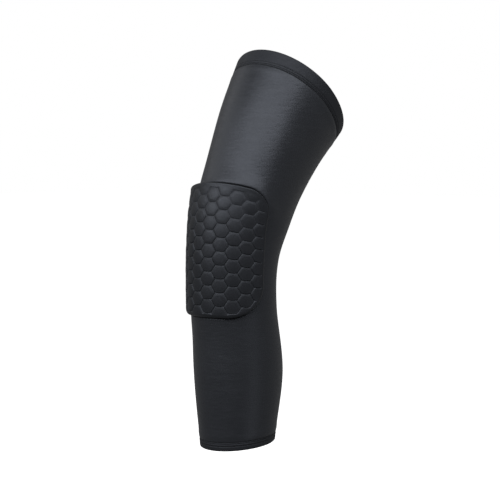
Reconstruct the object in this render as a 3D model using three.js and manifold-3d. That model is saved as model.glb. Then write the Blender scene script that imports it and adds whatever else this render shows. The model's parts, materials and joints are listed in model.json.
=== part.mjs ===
// Basketball knee pad: a long knit leg sleeve with a turned band at each mouth and a
// raised honeycomb pad over the kneecap, shaped as it sits on a slightly bent leg.
// Millimetres. +Z runs up the leg, the pad faces -Y, the origin is the centre of the knee.
import * as THREE from 'three';
import { mergeVertices } from 'three/addons/utils/BufferGeometryUtils.js';
import { TessellateModifier } from 'three/addons/modifiers/TessellateModifier.js';
import Module from 'manifold-3d';

// Sections of the worn sleeve from the calf mouth to the thigh mouth. Each is an oval with
// its own front and rear half depth, centred `back` from the knee and tilted by `lean` degrees.
const SECTIONS = [
  { up: -208, back: 9.5, lean: -3.5, side: 39.5, front: 49, rear: 44.5 },
  { up: -132, back: 8.5, lean: -2, side: 47, front: 53.5, rear: 56.5 },
  { up: -54, back: 2.5, lean: 2.5, side: 47, front: 48.5, rear: 49 },
  { up: 0, back: 2, lean: 9.5, side: 47.5, front: 47.5, rear: 53.5 },
  { up: 46, back: 13.5, lean: 20, side: 52, front: 53.5, rear: 60 },
  { up: 90, back: 35.5, lean: 29.5, side: 54, front: 59.5, rear: 64 },
  { up: 138, back: 64.5, lean: 36.5, side: 59, front: 68, rear: 72.5 },
  { up: 186.5, back: 99.5, lean: 40.5, side: 65, front: 74, rear: 83.5 },
];

const WALL = 1.2; // knit wall of the sleeve
const SEAM_GAP = 0.3; // clearance where two sewn pieces meet
const THIGH_BAND_DEPTH = 16.5; // hem at the upper mouth
const CALF_BAND_DEPTH = 9; // hem at the lower mouth
const CURVE_TENSION = 0.5; // how the leg's lines run through the sections
const SIDES = 38; // flats around the leg
const SLEEVE_RINGS = 26; // rings along the sleeve

// Half thickness of a turned hem from its seam (along 0) to its folded rim (along 1).
const BAND_PROFILE = [
  { along: 0, half: 0.6 },
  { along: 0.2, half: 1.1 },
  { along: 0.5, half: 1.2 },
  { along: 0.8, half: 1.1 },
  { along: 0.95, half: 0.7 },
];

const PAD_WIDTH = 133; // across the knee, laid flat
const PAD_HEIGHT = 150; // along the knee, laid flat
const PAD_TOP_RADIUS = 25; // upper corners
const PAD_BOTTOM_RADIUS = 40; // lower corners
const PAD_MIDDLE = 223.5; // from the calf mouth up the front line to the pad's middle
const PAD_GAP = 0.5; // clearance between the pad and the sleeve under it
const PAD_SKIN = 7.3; // height the rounded outer edge runs up to
const PAD_EDGE_RADIUS = 4; // rounding of the pad's outer edge
const EDGE_STEPS = 2; // facets across that rounding
const CORNER_STEPS = 5; // facets round a corner
const PAD_FACET = 10; // longest facet edge before the pad is wrapped on the leg
const FACET_ROUNDS = 8; // most times one edge is halved

const CELL_SIDES = 6; // the cells are hexagons
const CELL_PITCH = 15; // from one hexagon to the next above it
const CELL_COLUMN = CELL_PITCH * Math.cos(Math.PI / CELL_SIDES); // from column to column

// Rings of one cell, from the bottom of the groove round it in to its crown.
const CELL_RINGS = [
  { inset: 0, height: 5 },
  { inset: 1.5, height: 6.7 },
];
const CELL_CROWN = 7.2; // height of a cell's middle

const COLOURS = {
  sleeve: 0x1b1c1f,
  band: 0x151618,
  pad: 0x121314,
};
const CLOTH_ROUGHNESS = 0.7;

// A smooth line through three columns of the section table.
function through(first, second, third) {
  const points = SECTIONS.map((row) => new THREE.Vector3(first(row), second(row), third(row)));
  return new THREE.CatmullRomCurve3(points, false, 'catmullrom', CURVE_TENSION);
}
const none = () => 0;
const spine = through(none, (row) => row.back, (row) => row.up);
const girth = through((row) => row.side, (row) => row.front, (row) => row.rear);
const tilt = through((row) => THREE.MathUtils.degToRad(row.lean), none, none);

// A point `out` from the sleeve's outer face, at `t` along the leg and `angle` round it from
// the front.
function legPoint(t, angle, out) {
  const centre = spine.getPoint(t);
  const size = girth.getPoint(t);
  const lean = tilt.getPoint(t).x;
  const depth = Math.cos(angle) > 0 ? size.y : size.z;
  const outward = new THREE.Vector2(Math.sin(angle) / size.x, -Math.cos(angle) / depth).normalize();
  const across = size.x * Math.sin(angle) + out * outward.x;
  const deep = -depth * Math.cos(angle) + out * outward.y;
  return new THREE.Vector3(
    across,
    centre.y + deep * Math.cos(lean),
    centre.z - deep * Math.sin(lean),
  );
}

const LEG_LENGTH = spine.getLength();
const stationAt = (distance) => spine.getUtoTmapping(0, distance);

// Sweeps a closed profile of {distance, out} points once round the leg.
function sweepRound(profile) {
  const positions = [];
  const index = [];
  profile.forEach(({ distance, out }) => {
    for (let k = 0; k < SIDES; k += 1) {
      const angle = (2 * Math.PI * k) / SIDES;
      positions.push(...legPoint(stationAt(distance), angle, out).toArray());
    }
  });
  for (let ring = 0; ring < profile.length; ring += 1) {
    const next = (ring + 1) % profile.length;
    for (let k = 0; k < SIDES; k += 1) {
      const turn = (k + 1) % SIDES;
      const low = ring * SIDES + k;
      const lowNext = ring * SIDES + turn;
      const high = next * SIDES + k;
      const highNext = next * SIDES + turn;
      index.push(low, lowNext, highNext, low, highNext, high);
    }
  }
  const geometry = new THREE.BufferGeometry();
  geometry.setAttribute('position', new THREE.Float32BufferAttribute(positions, 3));
  geometry.setIndex(index);
  return geometry;
}

// The knit tube between the two seams.
function sleeveGeometry() {
  const from = CALF_BAND_DEPTH;
  const to = LEG_LENGTH - THIGH_BAND_DEPTH;
  const distances = Array.from(
    { length: SLEEVE_RINGS },
    (unused, ring) => THREE.MathUtils.lerp(from, to, ring / (SLEEVE_RINGS - 1)),
  );
  const outside = distances.map((distance) => ({ distance, out: 0 }));
  const inside = distances.map((distance) => ({ distance, out: -WALL })).reverse();
  return sweepRound([...outside, ...inside]);
}

// A hem: cloth folded double from its seam to its rim.
function bandGeometry(seam, rim) {
  const at = (row) => THREE.MathUtils.lerp(seam, rim, row.along);
  const outside = BAND_PROFILE.map((row) => ({ distance: at(row), out: row.half - WALL / 2 }));
  const inside = BAND_PROFILE.map((row) => ({ distance: at(row), out: -row.half - WALL / 2 }));
  const fold = { distance: rim, out: -WALL / 2 };
  const profile = [...outside, fold, ...inside.reverse()];
  return sweepRound(rim > seam ? profile : profile.reverse());
}

// The pad's outline, laid flat: a rectangle with its upper and lower corners rounded.
function padOutline() {
  const half = PAD_WIDTH / 2;
  const top = PAD_HEIGHT / 2;
  const upper = PAD_TOP_RADIUS;
  const lower = PAD_BOTTOM_RADIUS;
  const quarter = Math.PI / 2;
  const shape = new THREE.Shape();
  shape.moveTo(half, lower - top);
  shape.absarc(half - upper, top - upper, upper, 0, quarter, false);
  shape.absarc(upper - half, top - upper, upper, quarter, 2 * quarter, false);
  shape.absarc(lower - half, lower - top, lower, 2 * quarter, 3 * quarter, false);
  shape.absarc(half - lower, lower - top, lower, 3 * quarter, 4 * quarter, false);
  return shape;
}

// The pad's outline raised to its full height, with its upper edge rounded.
function padSkin() {
  return new THREE.ExtrudeGeometry(padOutline(), {
    depth: PAD_SKIN - PAD_EDGE_RADIUS,
    curveSegments: CORNER_STEPS,
    bevelThickness: PAD_EDGE_RADIUS,
    bevelSize: PAD_EDGE_RADIUS,
    bevelOffset: -PAD_EDGE_RADIUS,
    bevelSegments: EDGE_STEPS,
  });
}

// How far a point of the flat pattern lies outside the pad's outline, negative inside it.
function padReach(x, y) {
  const radius = y > 0 ? PAD_TOP_RADIUS : PAD_BOTTOM_RADIUS;
  const beside = Math.abs(x) - PAD_WIDTH / 2 + radius;
  const beyond = Math.abs(y) - PAD_HEIGHT / 2 + radius;
  const corner = Math.hypot(Math.max(beside, 0), Math.max(beyond, 0));
  return corner + Math.min(Math.max(beside, beyond), 0) - radius;
}

// A cell stands wherever its middle is within one pitch of the pad.
const hasCell = (x, y) => padReach(x, y) < CELL_PITCH;

// Middles of every cell that touches the pad, in columns set half a pitch apart.
function cellMiddles() {
  const columns = Math.ceil(PAD_WIDTH / CELL_COLUMN);
  const rows = Math.ceil(PAD_HEIGHT / CELL_PITCH);
  const middles = [];
  for (let column = -columns; column < columns; column += 1) {
    const shift = column % 2 === 0 ? 0 : CELL_PITCH / 2;
    for (let row = -rows; row <= rows; row += 1) {
      const x = (column + 0.5) * CELL_COLUMN;
      const y = row * CELL_PITCH + shift;
      if (hasCell(x, y)) middles.push({ x, y });
    }
  }
  return middles;
}

// A flat slab of cells standing side by side, wider than the pad all round.
function honeycombSlab() {
  const positions = [];
  const faces = [];
  let count = 0;
  const face = (...points) => {
    count += 1;
    for (let k = 2; k < points.length; k += 1) {
      positions.push(...points[0], ...points[k - 1], ...points[k]);
      faces.push(count);
    }
  };
  const step = (2 * Math.PI) / CELL_SIDES;
  cellMiddles().forEach(({ x, y }) => {
    const corner = (inset, height, k) => {
      const radius = (CELL_PITCH / 2 - inset) / Math.cos(step / 2);
      return [x + radius * Math.cos(k * step), y + radius * Math.sin(k * step), height];
    };
    for (let k = 0; k < CELL_SIDES; k += 1) {
      const rim = CELL_RINGS.map((ring) => corner(ring.inset, ring.height, k));
      const next = CELL_RINGS.map((ring) => corner(ring.inset, ring.height, k + 1));
      for (let ring = 1; ring < rim.length; ring += 1) {
        face(rim[ring - 1], next[ring - 1], next[ring], rim[ring]);
      }
      face([x, y, CELL_CROWN], rim[rim.length - 1], next[next.length - 1]);
      const low = corner(0, PAD_GAP, k);
      const lowNext = corner(0, PAD_GAP, k + 1);
      face([x, y, PAD_GAP], lowNext, low);
      const facing = (k + 0.5) * step;
      if (!hasCell(x + CELL_PITCH * Math.cos(facing), y + CELL_PITCH * Math.sin(facing))) {
        face(low, lowNext, next[0], rim[0]);
      }
    }
  });
  const geometry = new THREE.BufferGeometry();
  geometry.setAttribute('position', new THREE.Float32BufferAttribute(positions, 3));
  return { geometry, faces };
}

const wasm = await Module();
wasm.setup();

// Faces that share a number may be merged where they are flat.
function toSolid(geometry, faces) {
  const bare = new THREE.BufferGeometry();
  bare.setAttribute('position', geometry.getAttribute('position'));
  if (geometry.index) bare.setIndex(geometry.index);
  const welded = mergeVertices(bare);
  const mesh = {
    numProp: 3,
    vertProperties: new Float32Array(welded.getAttribute('position').array),
    triVerts: new Uint32Array(welded.index.array),
  };
  if (faces) mesh.faceID = Uint32Array.from(faces);
  return new wasm.Manifold(new wasm.Mesh(mesh));
}

function toGeometry(solid) {
  const mesh = solid.getMesh();
  const geometry = new THREE.BufferGeometry();
  geometry.setAttribute('position', new THREE.BufferAttribute(mesh.vertProperties, 3));
  geometry.setIndex(new THREE.BufferAttribute(mesh.triVerts, 1));
  return geometry;
}

// The line down the middle of the sleeve's front, measured from the calf mouth.
const FRONT_STEPS = 120;
const frontLine = new THREE.CatmullRomCurve3(
  Array.from({ length: FRONT_STEPS + 1 }, (unused, step) => legPoint(step / FRONT_STEPS, 0, 0)),
);
frontLine.arcLengthDivisions = FRONT_STEPS;

// Lays a flat pattern (x across, y along, z thick) round the front of the leg.
function wrapOnLeg(flat) {
  const position = flat.getAttribute('position');
  const point = new THREE.Vector3();
  for (let k = 0; k < position.count; k += 1) {
    point.fromBufferAttribute(position, k);
    const t = frontLine.getUtoTmapping(0, PAD_MIDDLE + point.y);
    const size = girth.getPoint(t);
    const angle = (2 * point.x) / (size.x + size.y);
    position.setXYZ(k, ...legPoint(t, angle, point.z).toArray());
  }
  return flat;
}

// The pad: the honeycomb trimmed to its outline, then bent round the knee.
function padGeometry() {
  const slab = honeycombSlab();
  const pad = toSolid(slab.geometry, slab.faces).intersect(toSolid(padSkin()));
  const flat = toGeometry(pad).toNonIndexed();
  const fine = new TessellateModifier(PAD_FACET, FACET_ROUNDS).modify(flat);
  return mergeVertices(wrapOnLeg(fine));
}

function piece(name, geometry, colour) {
  geometry.computeVertexNormals();
  const material = new THREE.MeshStandardMaterial({ color: colour, roughness: CLOTH_ROUGHNESS });
  material.name = name;
  const mesh = new THREE.Mesh(geometry, material);
  mesh.name = name;
  return mesh;
}

const thighSeam = LEG_LENGTH - THIGH_BAND_DEPTH + SEAM_GAP;
const calfSeam = CALF_BAND_DEPTH - SEAM_GAP;

const part = new THREE.Group();
part.name = 'basketball_knee_pad';
part.add(piece('sleeve', sleeveGeometry(), COLOURS.sleeve));
part.add(piece('thigh_band', bandGeometry(thighSeam, LEG_LENGTH), COLOURS.band));
part.add(piece('calf_band', bandGeometry(calfSeam, 0), COLOURS.band));
part.add(piece('knee_pad', padGeometry(), COLOURS.pad));

export default part;
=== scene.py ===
# %% [markdown]
# # A long basketball knee pad
# The object is a tube of black stretch knit that is pulled up over a bent knee. It has a turned hem
# at each mouth and a pad of honeycomb foam over the kneecap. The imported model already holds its
# true size and place, so the lesson starts by loading it, keeps its box, and never moves it. Lengths
# are in metres and angles in radians, unless a line says otherwise.

# %% Load the frame
import json
import math

import bpy
import numpy as np
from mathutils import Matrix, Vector

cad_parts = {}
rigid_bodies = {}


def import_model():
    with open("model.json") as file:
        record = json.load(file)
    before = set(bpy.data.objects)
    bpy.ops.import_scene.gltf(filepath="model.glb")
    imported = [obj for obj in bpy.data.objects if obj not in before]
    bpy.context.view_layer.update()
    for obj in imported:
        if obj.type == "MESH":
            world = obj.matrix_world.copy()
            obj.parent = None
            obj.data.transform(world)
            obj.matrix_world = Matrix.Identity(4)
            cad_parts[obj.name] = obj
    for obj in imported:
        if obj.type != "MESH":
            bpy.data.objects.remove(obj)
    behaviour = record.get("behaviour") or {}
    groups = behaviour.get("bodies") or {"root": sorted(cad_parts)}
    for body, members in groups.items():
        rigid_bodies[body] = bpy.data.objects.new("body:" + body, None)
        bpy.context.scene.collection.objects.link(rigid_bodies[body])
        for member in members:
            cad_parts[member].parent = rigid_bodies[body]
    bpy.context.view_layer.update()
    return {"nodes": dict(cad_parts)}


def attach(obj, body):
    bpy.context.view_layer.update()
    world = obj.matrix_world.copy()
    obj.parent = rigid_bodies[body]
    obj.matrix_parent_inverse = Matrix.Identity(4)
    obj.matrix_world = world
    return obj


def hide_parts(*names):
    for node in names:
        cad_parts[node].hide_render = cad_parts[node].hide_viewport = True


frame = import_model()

print("Nodes in the frame:", sorted(frame["nodes"]))

# %% [markdown]
# ## The leg that fills the sleeve
# The leg itself is never shown, but every piece of cloth takes its shape from it. It could be
# sculpted by eye. A short table of sections is easier to correct, so each row gives an oval: how
# high its middle is, how far back, how much it leans, and its half sizes to the side, front and rear.
# The ovals alone would be the same on both sides, so a rounded bump adds one muscle of the thigh on
# the side that the camera sees, where the band of shine ends.

# %% Sections of the leg
# Columns: up, back (metres), lean (degrees), side, front, rear (metres).
SECTIONS = np.array([
    (-0.2098, 0.0095, -3.5, 0.0395, 0.0490, 0.0445),
    (-0.1320, 0.0085, -2.0, 0.0470, 0.0535, 0.0565),
    (-0.0540, 0.0025, 2.5, 0.0470, 0.0485, 0.0490),
    (0.0000, 0.0020, 9.5, 0.0475, 0.0475, 0.0535),
    (0.0460, 0.0135, 20.0, 0.0520, 0.0535, 0.0600),
    (0.0900, 0.0355, 29.5, 0.0540, 0.0595, 0.0640),
    (0.1380, 0.0645, 36.5, 0.0590, 0.0680, 0.0725),
    (0.1877, 0.1004, 40.5, 0.0650, 0.0740, 0.0845),
])
LAST_STATION = len(SECTIONS) - 1


def leg_section(station):
    """The table's columns on a smooth curve through its rows, 0 at the calf mouth."""
    before_first = 2 * SECTIONS[0] - SECTIONS[1]
    after_last = 2 * SECTIONS[-1] - SECTIONS[-2]
    rows = np.vstack([before_first, SECTIONS, after_last])
    first = np.clip(np.floor(station).astype(int), 0, LAST_STATION - 1)
    share = (station - first)[:, None]
    before, start, end, after = (rows[first + step] for step in range(4))
    slope = (end - before) * share
    bend = (2 * before - 5 * start + 4 * end - after) * share**2
    sway = (3 * start - before - 3 * end + after) * share**3
    return (start + (slope + bend + sway) / 2).T


print(f"{len(SECTIONS)} sections, from the calf mouth at 0 to the thigh mouth at {LAST_STATION}")

# %% The muscle, and points on the leg
MUSCLE_HEIGHT = 0.0055
MUSCLE_STATION = 5.0
MUSCLE_LENGTH = 1.0
MUSCLE_ANGLE = math.radians(54)
MUSCLE_WIDTH = math.radians(31)


def bump(place, width, value):
    """A rounded bump, 1 at its place."""
    return np.exp(-(((value - place) / width) ** 2))


def on_leg(station, angle, out):
    """Points at a station and an angle from the front, standing out from the sleeve's face."""
    up, back, lean, side, front, rear = leg_section(station)
    muscle = bump(MUSCLE_STATION, MUSCLE_LENGTH, station)
    muscle *= bump(MUSCLE_ANGLE, MUSCLE_WIDTH, angle)
    out = out + MUSCLE_HEIGHT * muscle
    lean = np.radians(lean)
    depth = np.where(np.cos(angle) > 0, front, rear)
    outward = np.stack([np.sin(angle) / side, -np.cos(angle) / depth])
    outward /= np.linalg.norm(outward, axis=0)
    across = side * np.sin(angle) + out * outward[0]
    deep = -depth * np.cos(angle) + out * outward[1]
    return np.stack([across, back + deep * np.cos(lean), up - deep * np.sin(lean)], axis=1)


print(f"The muscle adds up to {1000 * MUSCLE_HEIGHT:.1f} mm to the thigh")

# %% Lengths along the leg
FINE_STEPS = 2000
STATIONS = np.linspace(0, LAST_STATION, FINE_STEPS)


def running_length(points):
    """How far along a line of points each of them lies."""
    steps = np.linalg.norm(np.diff(points, axis=0), axis=1)
    return np.concatenate([[0], np.cumsum(steps)])


MIDDLE_LINE = running_length(np.stack(leg_section(STATIONS)[:2], axis=1))
FRONT_LINE = running_length(on_leg(STATIONS, 0 * STATIONS, 0))
SLEEVE_LENGTH = MIDDLE_LINE[-1]
print(f"Sleeve {SLEEVE_LENGTH:.3f} m long inside, {FRONT_LINE[-1]:.3f} m along its front")

# %% [markdown]
# ## Cutting and rolling cloth
# A sleeve is cut flat, rolled into a tube and sewn. The same is done here: each cloth piece starts
# as a flat grid, gets its fine shape there, and is rolled round the leg at the end. The two edges
# that meet at the back are then merged, which closes the tube.


# %% Helpers that add a piece and move its points
def name_new(name):
    """Names the object that was just added, and its mesh or light."""
    piece = bpy.context.object
    piece.name = name
    piece.data.name = name
    return piece


def cut_flat(name, columns, rows):
    """A new flat grid, one unit wide and long, that becomes a piece of cloth."""
    bpy.ops.object.select_all(action="DESELECT")
    bpy.ops.mesh.primitive_grid_add(x_subdivisions=columns, y_subdivisions=rows, size=1)
    return name_new(name)


def points_of(piece):
    """The mesh's points as rows of x, y and z."""
    found = np.empty(3 * len(piece.data.vertices), np.float32)
    piece.data.vertices.foreach_get("co", found)
    return found.reshape(-1, 3).astype(float)


def move_points(piece, points):
    """Puts the mesh's points at new places."""
    piece.data.vertices.foreach_set("co", points.astype(np.float32).ravel())
    piece.data.update()


# %% Helpers that edit a piece
def take_up(piece):
    """Makes a piece the only one selected, and the active one."""
    bpy.ops.object.select_all(action="DESELECT")
    piece.select_set(True)
    bpy.context.view_layer.objects.active = piece


def edit(piece, *steps):
    """Runs edit mode operators one after another on everything in the mesh."""
    take_up(piece)
    bpy.ops.object.mode_set(mode="EDIT")
    bpy.ops.mesh.select_mode(type="VERT")
    bpy.ops.mesh.select_all(action="SELECT")
    for operator, options in steps:
        operator(**options)
    bpy.ops.object.mode_set(mode="OBJECT")


def select_points(piece, chosen):
    """Leaves just the chosen points of a mesh selected, in edit mode."""
    edit(piece, (bpy.ops.mesh.select_all, {"action": "DESELECT"}))
    piece.data.vertices.foreach_set("select", chosen)
    bpy.ops.object.mode_set(mode="EDIT")
    bpy.ops.mesh.select_mode(type="VERT")


def subdivide_where(piece, chosen, cuts):
    """Cuts the faces that have a chosen point into smaller ones."""
    select_points(piece, chosen)
    bpy.ops.mesh.select_more()
    bpy.ops.mesh.subdivide(number_cuts=cuts)
    bpy.ops.object.mode_set(mode="OBJECT")


def count_faces(piece):
    """Prints how many triangles a finished piece has."""
    triangles = sum(len(face.vertices) - 2 for face in piece.data.polygons)
    print(f"{piece.name}: {triangles} triangles")


# %% [markdown]
# ## The pad's outline
# The pad is a rectangle with rounded corners, cut flat and bent over the knee. The sleeve has to
# know where it lies, because the knit tucks in along its foot and pushes up a little above it,
# where the bent knee leaves some cloth to spare. So the outline comes before the sleeve.

# %% Where the pad lies
PAD_WIDTH = 0.133
PAD_HEIGHT = 0.1468
PAD_TOP_RADIUS = 0.025
PAD_BOTTOM_RADIUS = 0.040
PAD_MIDDLE = 0.2237
TOP_FROM = 0.25 * PAD_HEIGHT
TOP_FULL = 0.48 * PAD_HEIGHT


def smooth_step(low, high, value):
    """0 below low, 1 above high, and a soft slope between."""
    share = np.clip((value - low) / (high - low), 0, 1)
    return share * share * (3 - 2 * share)


def corner_radius(y):
    """The corner radius of the flat pad, by the half that a point lies in."""
    return np.where(y > 0, PAD_TOP_RADIUS, PAD_BOTTOM_RADIUS)


def past_corner(x, y):
    """How far a point of the flat pattern lies past the middle of its corner, across and along."""
    beside = np.abs(x) - PAD_WIDTH / 2 + corner_radius(y)
    beyond = np.abs(y) - PAD_HEIGHT / 2 + corner_radius(y)
    return beside, beyond


def pad_reach(x, y):
    """How far a point of the flat pattern lies outside the pad's outline, negative inside."""
    beside, beyond = past_corner(x, y)
    corner = np.hypot(np.maximum(beside, 0), np.maximum(beyond, 0))
    return corner + np.minimum(np.maximum(beside, beyond), 0) - corner_radius(y)


def top_share(y):
    """0 over most of the flat pad, rising to 1 at its top edge."""
    return smooth_step(TOP_FROM, TOP_FULL, y)


def pad_place(station, angle):
    """The flat pad's x and y over a point of the leg."""
    side, front = leg_section(station)[3:5]
    along = np.interp(station, STATIONS, FRONT_LINE)
    return angle * (side + front) / 2, along - PAD_MIDDLE


print(f"Pad {1000 * PAD_WIDTH:.0f} by {1000 * PAD_HEIGHT:.0f} mm, {PAD_MIDDLE} m up the front")

# %% [markdown]
# ## The sleeve
# The knit tube is one flat panel. Near its two seams, and along the foot of the pad, the grid is
# subdivided so that the small tucks there have points to bend at. Cloth simulation would relax a
# tight tube back to the same ovals, so the panel is rolled straight to its worn shape instead. Only
# the small forms are pushed into it: a tuck beside each hem, a crease along the pad's foot that is
# deepest above it, a roll of spare cloth past that crease, a slight lift below the pad, and the
# unevenness of stretched knit.

# %% Cut the sleeve's panel
THIGH_HEM = 0.0175
CALF_HEM = 0.009
SLEEVE_START = CALF_HEM
SLEEVE_END = SLEEVE_LENGTH - THIGH_HEM
PANEL_COLUMNS = 114
PANEL_ROWS = 144

sleeve = cut_flat("knit_sleeve", PANEL_COLUMNS, PANEL_ROWS)


def sleeve_places(piece):
    """Distance up the leg, station and angle of each point of the flat panel."""
    x, y = points_of(piece)[:, :2].T
    distance = SLEEVE_START + (y + 0.5) * (SLEEVE_END - SLEEVE_START)
    station = np.interp(distance, MIDDLE_LINE, STATIONS)
    return distance, station, 2 * np.pi * x


def from_seams(distance):
    """How far a point of the panel is from the nearer hem."""
    return np.minimum(distance - SLEEVE_START, SLEEVE_END - distance)


def past_pad(station, angle):
    """How far a point of the panel lies outside the pad's outline."""
    return pad_reach(*pad_place(station, angle))


print(f"Panel from {SLEEVE_START:.3f} to {SLEEVE_END:.3f} m up the leg")

# %% Subdivide it where it will bend
SEAM_ZONE = 0.010
PAD_ZONE = 0.009
SEAM_CREASE = 0.002
PAD_CREASE = 0.0035

for seam_zone, pad_zone, cuts in ((SEAM_ZONE, PAD_ZONE, 1), (SEAM_CREASE, PAD_CREASE, 2)):
    distance, station, angle = sleeve_places(sleeve)
    near_seam = from_seams(distance) < seam_zone
    near_pad = np.abs(past_pad(station, angle)) < pad_zone
    subdivide_where(sleeve, near_seam | near_pad, cuts)
print("Points in the flat panel:", len(sleeve.data.vertices))

# %% Crease, roll and lift along the pad
TUCK_DEPTH = 0.0004
TUCK_WIDTH = 0.0014
TOP_TUCK_DEPTH = 0.0027
TOP_TUCK_WIDTH = 0.0020
ROLL_HEIGHT = 0.0024
ROLL_START = 0.0008
ROLL_PLACE = 0.0034
ROLL_LENGTH = 0.012
ROLL_FROM_ANGLE = -0.6
ROLL_FULL_ANGLE = 0.7
LIFT_HEIGHT = 0.0016
LIFT_START = -0.0004
LIFT_END = 0.0008
LIFT_LENGTH = 0.020
LIFT_FROM = 0.25 * PAD_HEIGHT
LIFT_FULL = 0.5 * PAD_HEIGHT


def pad_tuck(station, angle):
    """The knit's height along the pad: creased at its foot, rolled up above it, lifted below it."""
    x, y = pad_place(station, angle)
    reach = pad_reach(x, y)
    past = np.maximum(reach, 0)
    above = top_share(y)
    depth = TUCK_DEPTH + (TOP_TUCK_DEPTH - TUCK_DEPTH) * above
    width = TUCK_WIDTH + (TOP_TUCK_WIDTH - TUCK_WIDTH) * above
    crease = depth * smooth_step(-TUCK_WIDTH, 0, reach) * bump(0, width, past)
    roll = ROLL_HEIGHT * above * smooth_step(ROLL_FROM_ANGLE, ROLL_FULL_ANGLE, angle)
    roll *= smooth_step(ROLL_START, ROLL_PLACE, reach)
    roll *= bump(ROLL_PLACE, ROLL_LENGTH, np.maximum(reach, ROLL_PLACE))
    lift = LIFT_HEIGHT * smooth_step(LIFT_FROM, LIFT_FULL, -y)
    lift *= smooth_step(LIFT_START, LIFT_END, reach) * bump(0, LIFT_LENGTH, past)
    return roll + lift - crease


print(f"Crease up to {1000 * TOP_TUCK_DEPTH:.1f} mm deep, roll {1000 * ROLL_HEIGHT:.1f} mm high")

# %% Tucks at the hems and unevenness
SEAM_TUCK = 0.0012
SEAM_TUCK_WIDTH = 0.0011
SEAM_PUFF = 0.0003
SEAM_PUFF_PLACE = 0.0060
SEAM_PUFF_WIDTH = 0.0035
# Columns: height (metres), waves round the leg, their slant and start, waves along it, their start.
SWELLS = (
    (0.00022, 2, 21, 0.0, 17, 0.6),
    (0.00007, 5, -34, 1.1, 61, 0.0),
)


def seam_tuck(seam_distance):
    """The knit's height beside a hem: pulled in by the stitches, then a slight puff."""
    tuck = -SEAM_TUCK * bump(0, SEAM_TUCK_WIDTH, seam_distance)
    return tuck + SEAM_PUFF * bump(SEAM_PUFF_PLACE, SEAM_PUFF_WIDTH, seam_distance)


def stretched_knit(distance, angle):
    """The slight unevenness of knit stretched over muscle."""
    total = 0
    for height, turns, slant, start, waves, waves_start in SWELLS:
        around = np.sin(turns * angle + slant * distance + start)
        total = total + height * (around * np.sin(waves * distance + waves_start))
    return total


# %% Push in the relief and roll the panel
MERGE_DISTANCE = 0.00001

distance, station, angle = sleeve_places(sleeve)
calm = smooth_step(0, SEAM_ZONE, from_seams(distance))
calm *= smooth_step(0, PAD_ZONE, past_pad(station, angle))
relief = calm * stretched_knit(distance, angle)
relief += pad_tuck(station, angle) + seam_tuck(from_seams(distance))
move_points(sleeve, on_leg(station, angle, relief))
edit(sleeve, (bpy.ops.mesh.remove_doubles, {"threshold": MERGE_DISTANCE}))
print(f"Relief of the knit from {1000 * relief.min():.2f} to {1000 * relief.max():.2f} mm")

# %% Give the knit its thickness
WALL = 0.0012
SHARP_ANGLE = math.radians(50)


def thicken(piece, thickness):
    """Solidifies a sheet inwards and applies it."""
    take_up(piece)
    solidify = piece.modifiers.new("wall", "SOLIDIFY")
    solidify.thickness = thickness
    solidify.offset = -1
    bpy.ops.object.modifier_apply(modifier=solidify.name)


def smooth(piece):
    """Shades a piece smooth, apart from real edges."""
    take_up(piece)
    bpy.ops.object.shade_smooth_by_angle(angle=SHARP_ANGLE)


thicken(sleeve, WALL)
smooth(sleeve)
count_faces(sleeve)

# %% [markdown]
# ## The hems
# At each mouth the knit is turned inside once and sewn down, so the hem is a double layer with a
# folded rim. One profile, from the seam out to the fold and back along the inside, is laid out as
# the rows of a flat grid and rolled round the leg. Its first rows lap thinly over the sleeve's end,
# so no light shows between the two, and the stitches pull two fine grooves into its face.

# %% The face of a hem
HEM_FACE = 0.0001
LAP = 0.0006
SEAM_DROP = 0.0006
SEAM_SWELL = 0.0006
STITCH_DENT = 0.0005
STITCH_DENT_WIDTH = 0.0005
STITCH_ROWS = (0.0009, 0.0036)


def hem_face(from_seam):
    """The hem's outer height: pulled in at the seam, dented by the two rows of stitches."""
    dents = sum(bump(row, STITCH_DENT_WIDTH, from_seam) for row in STITCH_ROWS)
    drop = SEAM_DROP * np.exp(-(from_seam + LAP) / SEAM_SWELL)
    return HEM_FACE - drop - STITCH_DENT * dents


# %% Profile of a turned hem
HEM_THICKNESS = 0.0024
RIM_LENGTH = 0.0012
LAP_LIP = 0.0001
LAP_CLEARANCE = 0.0001
FACE_ROWS = 48
FOLD_ROWS = 9
# The inside follows every third row of the outside, and stops short of the rows at the seam.
INSIDE_STEP = 3
SEAM_ROWS = 8


def hem_profile(depth):
    """Closed rows of distance from the seam and height: outside, round the fold, and back inside."""
    face = np.linspace(-LAP, depth - RIM_LENGTH, FACE_ROWS)
    quarter = np.linspace(0, math.pi / 2, FOLD_ROWS)[1:]
    outer = np.concatenate([face, depth - RIM_LENGTH * (1 - np.sin(quarter))])
    lap = [LAP_CLEARANCE, LAP_CLEARANCE, -LAP]
    inner = np.concatenate([outer[-2:SEAM_ROWS:-INSIDE_STEP], lap])
    middle = HEM_FACE - HEM_THICKNESS / 2
    fold = np.sqrt(1 - np.clip(1 - (depth - outer) / RIM_LENGTH, 0, 1) ** 2)
    inner_fold = np.interp(inner, outer, fold)
    outer_height = middle + (hem_face(outer) - middle) * fold
    inner_height = middle - HEM_THICKNESS / 2 * inner_fold
    inner_height[-2:] = hem_face(inner[-2:]) - LAP_LIP
    along = np.concatenate([outer, inner, outer[:1]])
    return along, np.concatenate([outer_height, inner_height, outer_height[:1]])


print("Rows in the profile of a hem:", len(hem_profile(THIGH_HEM)[0]) - 1)

# %% Sew the two hems
HEM_COLUMNS = 180


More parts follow.
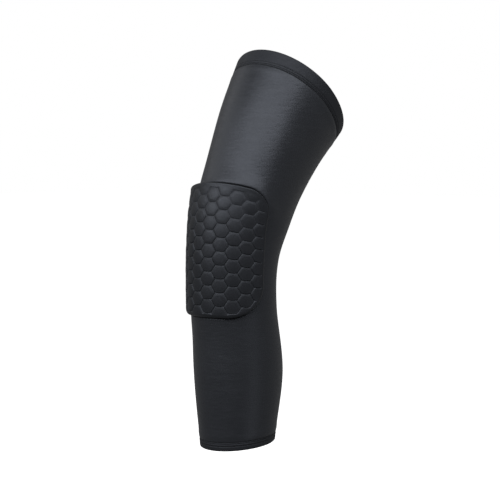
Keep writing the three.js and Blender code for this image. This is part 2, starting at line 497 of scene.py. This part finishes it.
def sew_hem(name, seam, direction, depth):
    """A turned hem whose seam lies at a distance up the leg, running up (1) or down (-1)."""
    along, height = hem_profile(depth)
    rows = len(along) - 1
    hem = cut_flat(name, HEM_COLUMNS, rows)
    x, y = points_of(hem)[:, :2].T
    row = np.rint((y + 0.5) * rows).astype(int)
    station = np.interp(seam + direction * along[row], MIDDLE_LINE, STATIONS)
    move_points(hem, on_leg(station, 2 * np.pi * x, height[row]))
    edit(
        hem,
        (bpy.ops.mesh.remove_doubles, {"threshold": MERGE_DISTANCE}),
        (bpy.ops.mesh.normals_make_consistent, {"inside": False}),
    )
    smooth(hem)
    count_faces(hem)
    return hem


thigh_hem = sew_hem("thigh_hem", SLEEVE_END, 1, THIGH_HEM)
calf_hem = sew_hem("calf_hem", SLEEVE_START, -1, CALF_HEM)

# %% [markdown]
# ## The twin rows of stitches
# A stretch hem is sewn with two needles side by side, which leaves two rows of short straight
# stitches in the grooves. Curves with a round bevel could draw them. Here one stitch is a small
# rounded bar, an Array modifier lays it out flat along a row and then in two rows, and the strip is
# rolled round the leg as the hem was, so the rows close without a gap at the back.

# %% Helpers for rows of stitches
STITCH_PITCH = 0.0030
STITCH_LENGTH = 0.0023
STITCH_THICKNESS = 0.00046
STITCH_HEIGHT = 0.00005
STITCH_SIDES = 6
STITCH_RINGS = 5
ROW_GAP = STITCH_ROWS[1] - STITCH_ROWS[0]
GIRTH_STEPS = 400


def girth_at(distance):
    """The way round the sleeve at a distance up the leg."""
    turn = np.linspace(-np.pi, np.pi, GIRTH_STEPS)
    station = np.interp(distance, MIDDLE_LINE, STATIONS)
    return running_length(on_leg(np.full_like(turn, station), turn, 0))[-1]


def repeat(piece, count, step):
    """Copies a piece in a straight row by an applied Array modifier."""
    array = piece.modifiers.new("row", "ARRAY")
    array.count = count
    array.use_relative_offset = False
    array.use_constant_offset = True
    array.constant_offset_displace = step
    bpy.ops.object.modifier_apply(modifier=array.name)


def one_stitch(name):
    """A rounded bar that lies along x."""
    bpy.ops.object.select_all(action="DESELECT")
    bpy.ops.mesh.primitive_uv_sphere_add(
        segments=STITCH_SIDES, ring_count=STITCH_RINGS, radius=0.5
    )
    stitch = name_new(name)
    quarter_turn = {"value": math.pi / 2, "orient_axis": "Y", "center_override": (0, 0, 0)}
    size = (STITCH_LENGTH, STITCH_THICKNESS, STITCH_THICKNESS)
    edit(
        stitch,
        (bpy.ops.transform.rotate, quarter_turn),
        (bpy.ops.transform.resize, {"value": size}),
    )
    return stitch


print(f"Thigh seam {girth_at(SLEEVE_END):.3f} m round, calf seam {girth_at(SLEEVE_START):.3f} m")


# %% Sew the stitches
def sew_stitches(name, seam, direction):
    """Both rows of stitches of one hem."""
    girth = girth_at(seam)
    count = round(girth / STITCH_PITCH)
    stitches = one_stitch(name)
    repeat(stitches, count, (girth / count, 0, 0))
    repeat(stitches, len(STITCH_ROWS), (0, ROW_GAP, 0))
    x, y, z = points_of(stitches).T
    station = np.interp(seam + direction * (STITCH_ROWS[0] + y), MIDDLE_LINE, STATIONS)
    row = np.where(y > ROW_GAP / 2, STITCH_ROWS[1], STITCH_ROWS[0])
    height = hem_face(row) + STITCH_HEIGHT + z
    move_points(stitches, on_leg(station, 2 * np.pi * x / girth, height))
    edit(stitches, (bpy.ops.mesh.normals_make_consistent, {"inside": False}))
    smooth(stitches)
    print(f"{name}: {count} stitches in each row")
    count_faces(stitches)
    return stitches


thigh_stitches = sew_stitches("thigh_stitches", SLEEVE_END, 1)
calf_stitches = sew_stitches("calf_stitches", SLEEVE_START, -1)

# %% [markdown]
# ## The honeycomb pad
# The pad is a slab of soft foam, pressed hot under a knit cover so that grooves part it into six
# sided cells. Its edge is tight along the top, which stands out a little from the bent knee, and
# fuller below. Boolean cells would give hard, flat hexagons. Here the cover is one fine sheet whose
# triangles lie along the cells' own sides: its rim is wrapped down over the foam's edge, a soft
# groove with a narrow slit at its middle is pressed in along each border of the cells, and the
# underside is closed last.

# %% Lay out the cover's sheet
CELL_PITCH = 0.015
CELL_SIDE = CELL_PITCH / math.sqrt(3)
STEPS_PER_SIDE = 15
SHEET_STEP = CELL_SIDE / STEPS_PER_SIDE
SHEET_ROW = SHEET_STEP * math.sqrt(3) / 2
SHEET_MARGIN = 0.011
SHEET_COLUMNS = 2 * math.ceil((PAD_WIDTH / 2 + SHEET_MARGIN) / SHEET_STEP)
SHEET_ROWS = 4 * math.ceil((PAD_HEIGHT / 2 + SHEET_MARGIN) / SHEET_ROW / 2)

pad = cut_flat("honeycomb_pad", SHEET_COLUMNS, SHEET_ROWS)
x, y = points_of(pad)[:, :2].T
column = np.rint(x * SHEET_COLUMNS)
row = np.rint(y * SHEET_ROWS)
flat_x = (column + (row % 2) / 2) * SHEET_STEP
flat_y = row * SHEET_ROW
move_points(pad, np.stack([flat_x, flat_y, 0 * flat_x], axis=1))
edit(pad, (bpy.ops.mesh.quads_convert_to_tris, {"quad_method": "SHORTEST_DIAGONAL"}))
print(f"Cover sheet: {len(pad.data.vertices)} points, {1000 * SHEET_STEP:.2f} mm apart")

# %% Trim the sheet to the pad
PAD_FACE = 0.0072
PAD_GAP = 0.0005
TOP_EDGE_RADIUS = 0.0012
BOTTOM_EDGE_RADIUS = 0.0042


def edge_radius(y):
    """Rounding of the pad's edge, tight along the top and fuller below."""
    return BOTTOM_EDGE_RADIUS + (TOP_EDGE_RADIUS - BOTTOM_EDGE_RADIUS) * top_share(y)


def past_face(x, y):
    """How far a point of the sheet lies past the flat of the pad's face, along the sheet."""
    return pad_reach(x, y) + edge_radius(y)


def sheet_reach(y):
    """How much sheet lies past the flat: the rounded edge and the wall under it."""
    return edge_radius(y) * (math.pi / 2 - 1) + PAD_FACE - PAD_GAP


def border_points(piece):
    """True for each point on the open edge of a sheet."""
    edit(
        piece,
        (bpy.ops.mesh.select_all, {"action": "DESELECT"}),
        (bpy.ops.mesh.select_non_manifold, {}),
    )
    found = np.empty(len(piece.data.vertices), bool)
    piece.data.vertices.foreach_get("select", found)
    return found


x, y = points_of(pad)[:, :2].T
select_points(pad, past_face(x, y) > sheet_reach(y) + SHEET_ROW / 2)
bpy.ops.mesh.delete(type="VERT")
bpy.ops.object.mode_set(mode="OBJECT")
cover_border = border_points(pad)
print("Points along the cover's trimmed edge:", int(cover_border.sum()))

# %% Find the cell under a point
CELL_COLUMN = CELL_PITCH * math.sqrt(3) / 2


def nearest_cell(x, y):
    """Column and row of the cell that a point lies in, and the point's place from its middle."""
    best = None
    guess = np.floor(x / CELL_COLUMN)
    for step in (-1, 0, 1):
        column = guess + step
        shift = (column % 2) * CELL_PITCH / 2
        row = np.rint((y - shift) / CELL_PITCH)
        across = x - (column + 0.5) * CELL_COLUMN
        along = y - row * CELL_PITCH - shift
        found = np.stack([column, row, across, along])
        if best is None:
            best = found
        else:
            closer = np.hypot(across, along) < np.hypot(best[2], best[3])
            best = np.where(closer, found, best)
    return best


def border_distance(across, along, roundness):
    """How far inside its cell's nearest side a point lies, sharper at the corners if higher."""
    reach = sum(
        np.abs(along * math.cos(turn) + across * math.sin(turn)) ** roundness
        for turn in (0, math.pi / 3, -math.pi / 3)
    )
    return CELL_PITCH / 2 - reach ** (1 / roundness)


print(f"Cells {1000 * CELL_PITCH:.0f} mm across, with sides of {1000 * CELL_SIDE:.1f} mm")

# %% Height of the pressed cells
GROOVE_DEPTH = 0.0003
GROOVE_FLOOR = -0.0003
GROOVE_HALF_WIDTH = 0.0030
CELL_ROUNDNESS = 7
CELL_CROWN = 0.0002
CELL_UNEVENNESS = 0.0001
COLUMN_WAVE = 2.7
ROW_WAVE = 1.9
SLIT_DEPTH = 0.0010
SLIT_ROUNDNESS = 14
SLIT_FADE = 0.45 * PAD_HEIGHT
TOP_SLIT_SHARE = 0.35


def cell_height(x, y):
    """The pressed cover's height over the pad's face, and how deep in a groove it is, 0 to 1."""
    column, row, across, along = nearest_cell(x, y)
    inside = border_distance(across, along, CELL_ROUNDNESS)
    groove = 1 - smooth_step(GROOVE_FLOOR, GROOVE_HALF_WIDTH, inside)
    crown = CELL_CROWN * smooth_step(0, CELL_PITCH / 2, inside)
    uneven = CELL_UNEVENNESS * np.sin(COLUMN_WAVE * column + ROW_WAVE * row)
    uneven *= smooth_step(0, GROOVE_HALF_WIDTH, inside)
    slit = np.clip(1 - border_distance(across, along, SLIT_ROUNDNESS) / SHEET_ROW, 0, 1)
    slit *= 1 - (1 - TOP_SLIT_SHARE) * smooth_step(0, SLIT_FADE, y)
    return crown + uneven - GROOVE_DEPTH * groove - SLIT_DEPTH * slit, groove


print(f"Grooves {1000 * GROOVE_DEPTH:.1f} mm deep, with a slit of {1000 * SLIT_DEPTH:.1f} mm")

# %% Press the cells and wrap the rim
PLAIN_MARGIN = 0.0072
MARGIN_END = 0.0032
TOP_MARGIN_SHIFT = 0.0008
TOP_STAND = 0.0018
STAND_FROM = 0.2 * PAD_HEIGHT
STAND_RISE = 0.3 * PAD_HEIGHT
STAND_POWER = 4
TINY = 1e-9

x, y = points_of(pad)[:, :2].T
edge = edge_radius(y)
past = np.where(cover_border, sheet_reach(y), np.minimum(past_face(x, y), sheet_reach(y)))
turn = np.clip(past / edge, 0, math.pi / 2)
down_wall = np.maximum(past - edge * math.pi / 2, 0)

# The cells fade out towards a plain margin along the edge.
pressed, groove = cell_height(x, y)
margin = pad_reach(x, y) + TOP_MARGIN_SHIFT * top_share(y)
keep = 1 - smooth_step(-PLAIN_MARGIN, -MARGIN_END, margin)
pressed = pressed * keep

# Past the flat face, a point goes round the edge and then straight down the wall.
beside, beyond = past_corner(x, y)
outward = np.stack([np.maximum(beside, 0) * np.sign(x), np.maximum(beyond, 0) * np.sign(y)])
outward /= np.maximum(np.linalg.norm(outward, axis=0), TINY)
shift = np.where(past > 0, (edge + pressed) * np.sin(turn) - past_face(x, y), 0)
rim = PAD_FACE - edge + (edge + pressed) * np.cos(turn) - down_wall

# The height is drawn out towards the top edge, where the pad stands out a little more.
level = (rim - PAD_GAP) / (PAD_FACE - PAD_GAP)
stand = TOP_STAND * np.clip((y - STAND_FROM) / STAND_RISE, 0, 1) ** STAND_POWER
height = PAD_GAP + level * (PAD_FACE + stand - PAD_GAP)
move_points(pad, np.stack([x + shift * outward[0], y + shift * outward[1], height], axis=1))
groove_depth = pad.data.attributes.new("groove", "FLOAT", "POINT")
groove_depth.data.foreach_set("value", (groove * keep).astype(np.float32))
print(f"Cover height from {1000 * height.min():.2f} to {1000 * height.max():.2f} mm")

# %% Close the underside
UNDERSIDE_RINGS = 9

select_points(pad, border_points(pad))
for ring in range(UNDERSIDE_RINGS):
    bpy.ops.mesh.extrude_edges_move()
    shrink = 1 - 1 / (UNDERSIDE_RINGS + 1 - ring)
    bpy.ops.transform.resize(value=(shrink, shrink, 1), center_override=(0, 0, 0))
bpy.ops.mesh.merge(type="CENTER")
bpy.ops.object.mode_set(mode="OBJECT")
edit(pad, (bpy.ops.mesh.normals_make_consistent, {"inside": False}))
print("Points of the closed pad:", len(pad.data.vertices))


# %% Bend the pad over the knee
def wrap_pad(piece):
    """Bends a piece of the flat pad over the front of the leg."""
    x, y, height = points_of(piece).T
    station = np.interp(PAD_MIDDLE + y, FRONT_LINE, STATIONS)
    side, front = leg_section(station)[3:5]
    move_points(piece, on_leg(station, 2 * x / (side + front), height))


wrap_pad(pad)
smooth(pad)
count_faces(pad)

# %% [markdown]
# ## Writing shader maths
# A material's nodes are easier to read as sums. This class wraps one socket: adding, taking away,
# multiplying or raising it makes the Math node, and `node` makes any other kind of node, with its
# settings first and then what goes into its sockets.


# %% Shader sums
class Shade:
    """A socket of a material that can be used like a number."""

    def __init__(self, tree, socket=None):
        self.tree = tree
        self.socket = socket

    def node(self, kind, settings, sockets, output=0):
        """Adds a node and gives back one of its outputs."""
        made = self.tree.nodes.new(kind)
        for name, value in settings.items():
            setattr(made, name, value)
        for place, value in sockets.items():
            if isinstance(value, Shade):
                self.tree.links.new(value.socket, made.inputs[place])
            else:
                made.inputs[place].default_value = value
        return Shade(self.tree, made.outputs[output])

    def math(self, operation, first, second):
        """Adds a Math node."""
        return self.node("ShaderNodeMath", {"operation": operation}, {0: first, 1: second})

    def __add__(self, other):
        return self.math("ADD", self, other)

    def __sub__(self, other):
        return self.math("SUBTRACT", self, other)

    def __rsub__(self, other):
        return self.math("SUBTRACT", other, self)

    def __mul__(self, other):
        return self.math("MULTIPLY", self, other)

    def __pow__(self, other):
        return self.math("POWER", self, other)

    __radd__ = __add__
    __rmul__ = __mul__


# %% [markdown]
# ## The knit's finish
# All the cloth is a black nylon and elastane knit. Close up it is rows of tiny loops, a wale across
# and a course along, and from a step away those rows give a satin shine, mottled and faintly
# streaked where the stretch varies. A photograph of cloth would show its own light and its seams, so
# the loops are a bump on the piece's own cloth map, which follows the cloth round the leg, and noise
# in the piece's own place gives the streaks. The even numbers are set straight on the shader.

# %% Parts of a finish
COOL_SHINE = (0.80, 0.86, 1.0)


def new_finish(name, specular):
    """A material with its even settings, and a starting point for its sums."""
    material = bpy.data.materials.new(name)
    material.use_nodes = True
    shader = material.node_tree.nodes["Principled BSDF"]
    shader.inputs["Specular IOR Level"].default_value = specular
    shader.inputs["Specular Tint"].default_value = (*COOL_SHINE, 1)
    return material, shader, Shade(material.node_tree)


def link(shader, place, value):
    """Joins a sum to one of the shader's sockets."""
    value.tree.links.new(value.socket, shader.inputs[place])


def cool_black(brightness):
    """The cloth's bluish black at a given brightness."""
    return [brightness * share for share in COOL_SHINE]


def mix_colour(start, share, dark, light):
    """A black between two brightnesses, by a share from 0 to 1."""
    settings = {"data_type": "RGBA"}
    sockets = {0: share, 6: (*cool_black(dark), 1), 7: (*cool_black(light), 1)}
    return start.node("ShaderNodeMix", settings, sockets, output=2)


def noise(start, place, scale, detail):
    """Soft uneven values from 0 to 1, with so many waves to a metre."""
    sockets = {"Vector": place, "Scale": scale, "Detail": detail}
    return start.node("ShaderNodeTexNoise", {}, sockets)


def stretched_noise(start, place, scales, detail):
    """Noise with its own number of waves to a metre along each axis."""
    stretched = start.node("ShaderNodeMapping", {}, {"Vector": place, "Scale": scales})
    return noise(start, stretched, 1.0, detail)


def raise_bump(shader, start, height, strength, distance):
    """Bends the shine as if a height pattern stood out of the surface."""
    sockets = {"Strength": strength, "Distance": distance, "Height": height}
    link(shader, "Normal", start.node("ShaderNodeBump", {}, sockets))


# %% A knit material
STREAK_WAVES = (25, 25, 260)
MOTTLE_WAVES = (110, 110, 400)
BLOTCH_WAVES = 28
FUZZ_WAVES = 1400
WALES = 420
SLEEVE_COURSES = 560
HEM_COURSES = 30


def loops(start, wales, courses):
    """The height of knit loops, 0 to 1, on the cloth map."""
    cloth_map = start.node("ShaderNodeTexCoord", {}, {}, output="UV")
    across = start.node("ShaderNodeSeparateXYZ", {}, {"Vector": cloth_map}, output="X")
    along = start.node("ShaderNodeSeparateXYZ", {}, {"Vector": cloth_map}, output="Y")
    rib = start.math("SINE", across * (2 * math.pi * wales), 0)
    loop = start.math("SINE", along * (2 * math.pi * courses), 0)
    return 0.5 + 0.3 * rib + 0.2 * loop


def knit_finish(name, courses, smoothest, specular, dark, light):
    """Black stretch knit whose loops follow the cloth map."""
    material, shader, start = new_finish(name, specular)
    place = start.node("ShaderNodeTexCoord", {}, {}, output="Object")
    streak = stretched_noise(start, place, STREAK_WAVES, 3)
    mottle = stretched_noise(start, place, MOTTLE_WAVES, 3)
    blotch = noise(start, place, BLOTCH_WAVES, 4)
    fuzz = noise(start, place, FUZZ_WAVES, 2)
    share = 0.3 * streak + 0.2 * mottle + 0.3 * blotch + 0.2 * fuzz
    link(shader, "Base Color", mix_colour(start, share, dark, light))
    link(shader, "Roughness", smoothest + 0.16 * streak + 0.2 * mottle + 0.08 * blotch)
    height = loops(start, WALES, courses) + 0.25 * fuzz + 8 * mottle
    raise_bump(shader, start, height, strength=0.25, distance=0.00012)
    return material


sleeve_knit = knit_finish(
    "sleeve_knit", SLEEVE_COURSES, smoothest=0.18, specular=0.35, dark=0.011, light=0.026
)
hem_knit = knit_finish(
    "hem_knit", HEM_COURSES, smoothest=0.33, specular=0.24, dark=0.009, light=0.020
)
print("Knits:", sleeve_knit.name, "and", hem_knit.name)

# %% [markdown]
# ## The finish of the pad and the thread
# The pad's cover is the same yarn in a flatter, matter weave, pressed hard with heat. The crowns of
# its cells are pressed smooth and black. The groove attribute that was saved on the mesh makes the
# grooves duller, and paints them a little paler: painted light that lifts the shade in the grooves
# and stands in for their lit walls. The thread is plain and darker than the cloth round it.

# %% The pad's cover and the thread
PAD_BLOTCH_WAVES = 45
PAD_FUZZ_WAVES = 1600
WEAVE_WAVES = 1300
TWIST_WAVES = 2500


def pad_finish():
    """Matte pressed knit, duller in the grooves, with painted light that makes the grooves paler."""
    material, shader, start = new_finish("pad_cover", specular=0.39)
    groove = start.node("ShaderNodeAttribute", {"attribute_name": "groove"}, {}, output="Fac")
    place = start.node("ShaderNodeTexCoord", {}, {}, output="Object")
    blotch = noise(start, place, PAD_BLOTCH_WAVES, 4)
    fuzz = noise(start, place, PAD_FUZZ_WAVES, 2)
    cells = {"Vector": place, "Scale": WEAVE_WAVES}
    weave = start.node("ShaderNodeTexVoronoi", {"feature": "SMOOTH_F1"}, cells, output="Distance")
    # The groove term paints the grooves paler: painted light that lifts the shade in them.
    share = (0.25 * blotch + 0.15 * fuzz + 0.1) * (1 + 0.9 * groove**3)
    link(shader, "Base Color", mix_colour(start, share, dark=0.003, light=0.020))
    link(shader, "Roughness", 0.38 + 0.12 * blotch + 0.18 * groove)
    raise_bump(shader, start, weave + 0.4 * fuzz, strength=0.3, distance=0.00015)
    return material


def thread_finish():
    """Black sewing thread with a fine twist."""
    material, shader, start = new_finish("thread", specular=0.20)
    place = start.node("ShaderNodeTexCoord", {}, {}, output="Object")
    twist = noise(start, place, TWIST_WAVES, 2)
    link(shader, "Base Color", mix_colour(start, twist, dark=0.004, light=0.013))
    link(shader, "Roughness", 0.4 + 0.25 * twist)
    return material


pad_cover = pad_finish()
thread = thread_finish()
print("Finishes:", pad_cover.name, "and", thread.name)

# %% Dress the pieces
for piece, finish in (
    (sleeve, sleeve_knit),
    (thigh_hem, hem_knit),
    (calf_hem, hem_knit),
    (thigh_stitches, thread),
    (calf_stitches, thread),
    (pad, pad_cover),
):
    piece.data.materials.clear()
    piece.data.materials.append(finish)
    print(f"{piece.name} wears {finish.name}")

# %% [markdown]
# ## Floor, light and camera
# The object is shown against plain white, so a wide pale floor lies well below it and a white world
# fills in all round. The satin shine on the thigh is the reflection of a wide key light in front of
# it and above, which is rolled so that the shine runs along the leg. Weaker lights at the left side
# and the left front lift that edge, and a small glow low on the right stands in for light that the
# floor throws back. The camera stands a little above the knee, turned forty degrees to its side.

# %% The floor
FLOOR_HEIGHT = -0.45
FLOOR_SIZE = 30
FLOOR_WHITE = 0.9
FLOOR_GLOW = 0.8

bpy.ops.object.select_all(action="DESELECT")
bpy.ops.mesh.primitive_plane_add(size=FLOOR_SIZE, location=(0, 0, FLOOR_HEIGHT))
floor = name_new("floor")
floor_paint = bpy.data.materials.new("floor_paint")
floor_paint.use_nodes = True
paint = floor_paint.node_tree.nodes["Principled BSDF"]
paint.inputs["Base Color"].default_value = (FLOOR_WHITE, FLOOR_WHITE, FLOOR_WHITE, 1)
paint.inputs["Roughness"].default_value = 1
paint.inputs["Emission Color"].default_value = (1, 1, 1, 1)
paint.inputs["Emission Strength"].default_value = FLOOR_GLOW
floor.data.materials.append(floor_paint)
floor.visible_diffuse = False
floor.visible_glossy = False
print(f"Floor {FLOOR_SIZE} m wide, {-FLOOR_HEIGHT} m below the knee")

# %% The camera
VIEW_TURN = math.radians(40)
VIEW_RISE = math.radians(4)
VIEW_DISTANCE = 1.5
METRES_PER_PIXEL = 0.001125
PICTURE_SIZE = 500
KNEE_PIXEL = (233, 258)
SENSOR_WIDTH = 36

toward_camera = np.array([
    math.sin(VIEW_TURN) * math.cos(VIEW_RISE),
    -math.cos(VIEW_TURN) * math.cos(VIEW_RISE),
    math.sin(VIEW_RISE),
])
rightward = np.array([math.cos(VIEW_TURN), math.sin(VIEW_TURN), 0])
upward = np.cross(toward_camera, rightward)
aim = rightward * (PICTURE_SIZE / 2 - KNEE_PIXEL[0]) + upward * (KNEE_PIXEL[1] - PICTURE_SIZE / 2)
aim *= METRES_PER_PIXEL


def place_looking(thing, spot, target):
    """Puts a camera or light at a spot, facing a target."""
    thing.location = spot
    facing = Vector(np.asarray(target) - np.asarray(spot))
    thing.rotation_euler = facing.to_track_quat("-Z", "Y").to_euler()


bpy.ops.object.camera_add()
camera = bpy.context.object
camera.data.sensor_width = SENSOR_WIDTH
camera.data.lens = VIEW_DISTANCE * SENSOR_WIDTH / (PICTURE_SIZE * METRES_PER_PIXEL)
place_looking(camera, aim + VIEW_DISTANCE * toward_camera, aim)
bpy.context.scene.camera = camera
print(f"Lens {camera.data.lens:.1f} mm, {VIEW_DISTANCE} m away")

# %% The white world
SURROUND = 0.24

world = bpy.context.scene.world or bpy.data.worlds.new("studio")
bpy.context.scene.world = world
world.use_nodes = True
backdrop = world.node_tree.nodes["Background"]
backdrop.inputs["Color"].default_value = (1, 1, 1, 1)
seen = Shade(world.node_tree).node("ShaderNodeLightPath", {}, {}, output="Is Camera Ray")
link(backdrop, "Strength", SURROUND * (1 - seen) + seen)
bpy.context.scene.view_settings.view_transform = "Standard"
print(f"White behind the object, {SURROUND} of it as light")

# %% The lights
LIGHT_TARGET = (0, 0, 0.05)
# Columns: name, then how far to the camera's left, towards it and up, width, height (metres), watts,
# roll (degrees).
LIGHTS = (
    ("key_light", 0.1, 1.10, 1.03, 4.0, 1.2, 52.5, 12),
    ("side_light", 1.5, -0.25, 1.0, 2.0, 1.0, 5, 0),
    ("front_light", 1.45, 0.55, 0.62, 0.7, 0.5, 3.4, 0),
    ("floor_glow", -0.62, 0.38, -0.46, 0.3, 0.3, 0.3, 0),
)

for name, left, near, high, width, height, watts, roll in LIGHTS:
    bpy.ops.object.light_add(type="AREA")
    light = name_new(name)
    light.data.shape = "RECTANGLE"
    light.data.size = width
    light.data.size_y = height
    light.data.energy = watts
    spot = -left * rightward + near * toward_camera + high * upward
    place_looking(light, spot, LIGHT_TARGET)
    light.rotation_euler.rotate_axis("Z", math.radians(roll))
    print(f"{name}: {watts} W, {width} by {height} m")

# %% [markdown]
# ## Attaching the pieces
# Each piece is parented to the body that carries it, and the plain solid of the frame that it
# stands for is hidden.

for piece, node, slot in (
    (sleeve, "sleeve", "sleeve"),
    (thigh_hem, "thigh_band", "hem"),
    (calf_hem, "calf_band", "hem"),
    (pad, "knee_pad", "pad"),
):
    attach(piece, "root")
    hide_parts(node)

for piece in (thigh_stitches, calf_stitches):
    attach(piece, "root")
